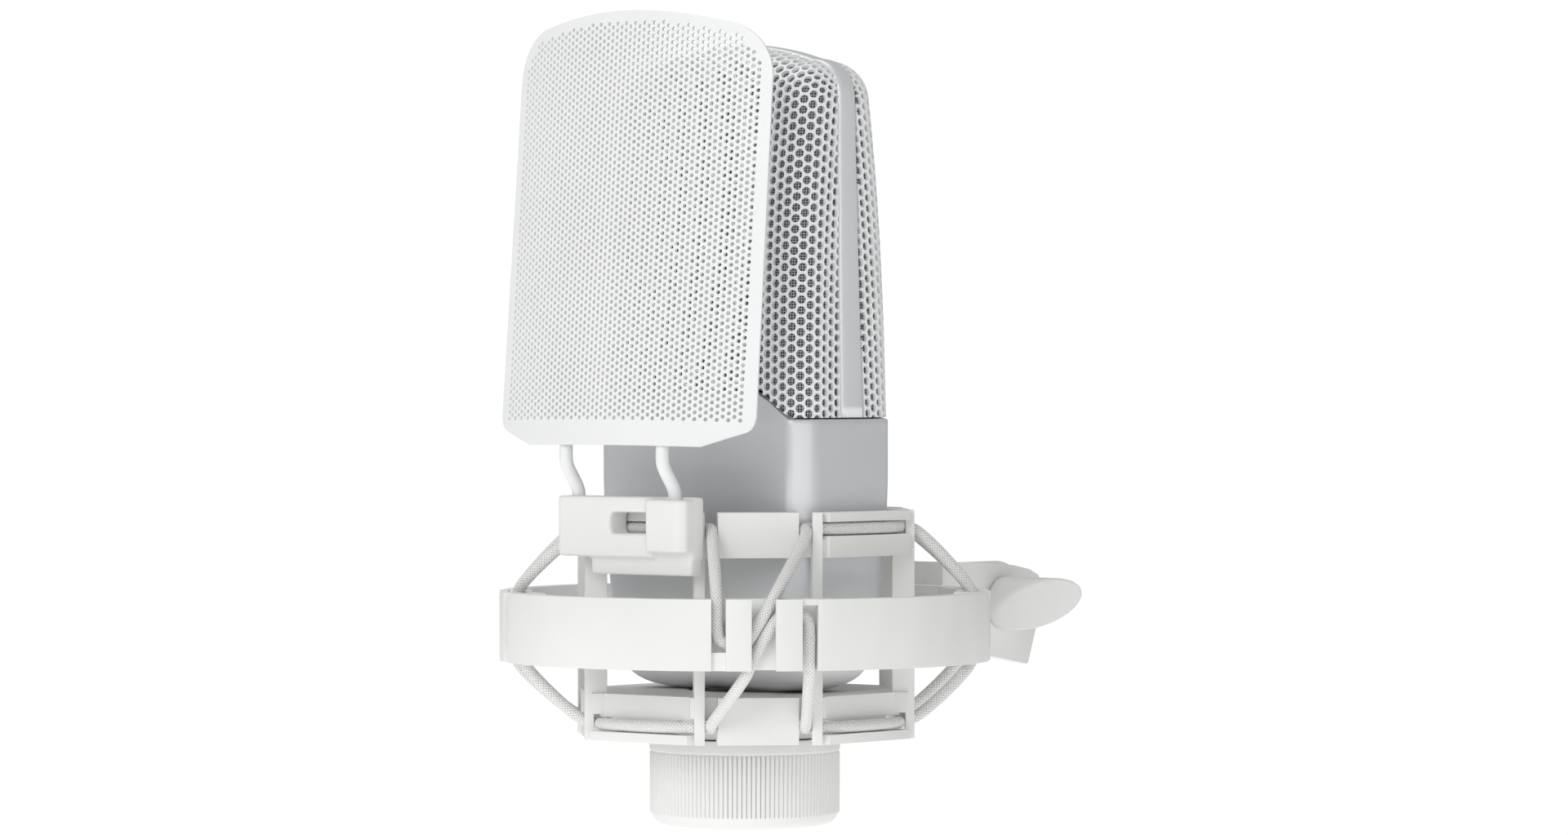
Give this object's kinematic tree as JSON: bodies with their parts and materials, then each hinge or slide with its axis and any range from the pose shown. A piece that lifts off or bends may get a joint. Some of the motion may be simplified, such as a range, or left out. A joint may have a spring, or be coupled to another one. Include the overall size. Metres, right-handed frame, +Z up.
{
  "type": "desktop microphone",
  "caption": "Side-address studio microphone with a perforated grille head, held in an elastic shock mount with a curved pop filter and a tilting stand adapter.",
  "frame": {"origin": "centre of the stand thread's mouth, at the rear of the swivel", "axes": "+Z up along the microphone's length; -Y is the microphone's front, where the pop filter stands; +X is on the right seen from the front"},
  "size_m": [0.1082, 0.1451, 0.1778],
  "materials": {
    "body_paint": "satin light cool grey paint",
    "grille_paint": "satin light grey paint",
    "mesh_wire": "fine woven wire",
    "white_plastic": "matte moulded white",
    "elastic_cord": "braided white elastic",
    "screen_paint": "satin white paint",
    "steel": "plain steel",
    "brass": "turned brass",
    "gold": "gold plated",
    "black_plastic": "matte black",
    "board": "green laminate"
  },
  "bodies": {
    "adapter": {"stand_adapter": "white_plastic", "thread_insert": "steel"},
    "ring": {"outer_ring": "white_plastic", "swivel_yoke": "white_plastic", "yoke_screw_1": "steel", "yoke_screw_2": "steel", "clamp_bolt": "steel", "friction_washer_1": "black_plastic", "friction_washer_2": "black_plastic", "upper_cord": "elastic_cord", "lower_cord": "elastic_cord"},
    "knob": {"clamp_knob": "white_plastic"},
    "microphone": {"mic_body": "body_paint", "grille_band": "body_paint", "front_grille": "grille_paint", "rear_grille": "grille_paint", "front_wire_mesh": "mesh_wire", "rear_wire_mesh": "mesh_wire", "capsule_platform": "black_plastic", "capsule_saddle": "black_plastic", "capsule_ring": "brass", "capsule_backplate": "brass", "front_diaphragm": "gold", "rear_diaphragm": "gold", "inner_chassis": "steel", "circuit_board": "board", "board_screw_1": "steel", "board_screw_2": "steel", "tail_sleeve": "steel", "connector_insert": "black_plastic", "connector_pin_1": "gold", "connector_pin_2": "gold", "connector_pin_3": "gold", "cradle": "white_plastic"},
    "nut": {"ring_nut": "white_plastic"},
    "pop_filter": {"rod_clip": "white_plastic", "left_rod": "screen_paint", "right_rod": "screen_paint", "pop_filter_screen": "screen_paint"}
  },
  "joints": [
    {"name": "tilt", "type": "hinge", "parent": "adapter", "child": "ring", "pos_m": [0, -0.017, 0], "axis": [1, 0, 0], "range_deg": [-80, 95]},
    {"name": "knob_turn", "type": "hinge", "parent": "ring", "child": "knob", "pos_m": [0, -0.017, 0], "axis": [1, 0, 0], "range_deg": [0, 270]},
    {"name": "suspension", "type": "slide", "parent": "ring", "child": "microphone", "axis": [0, 0, 1], "range_m": [-0.004, 0.004], "stiffness_N_per_m": 2000, "springref_m": 0.00322, "deforming": ["upper_cord", "lower_cord"]},
    {"name": "nut_turn", "type": "hinge", "parent": "microphone", "child": "nut", "pos_m": [0, -0.091, -0.0468], "axis": [0, 0, 1], "continuous": true},
    {"name": "pop_filter_pull", "type": "slide", "parent": "microphone", "child": "pop_filter", "axis": [0, -1, 0], "range_m": [0, 0.03]}
  ]
}
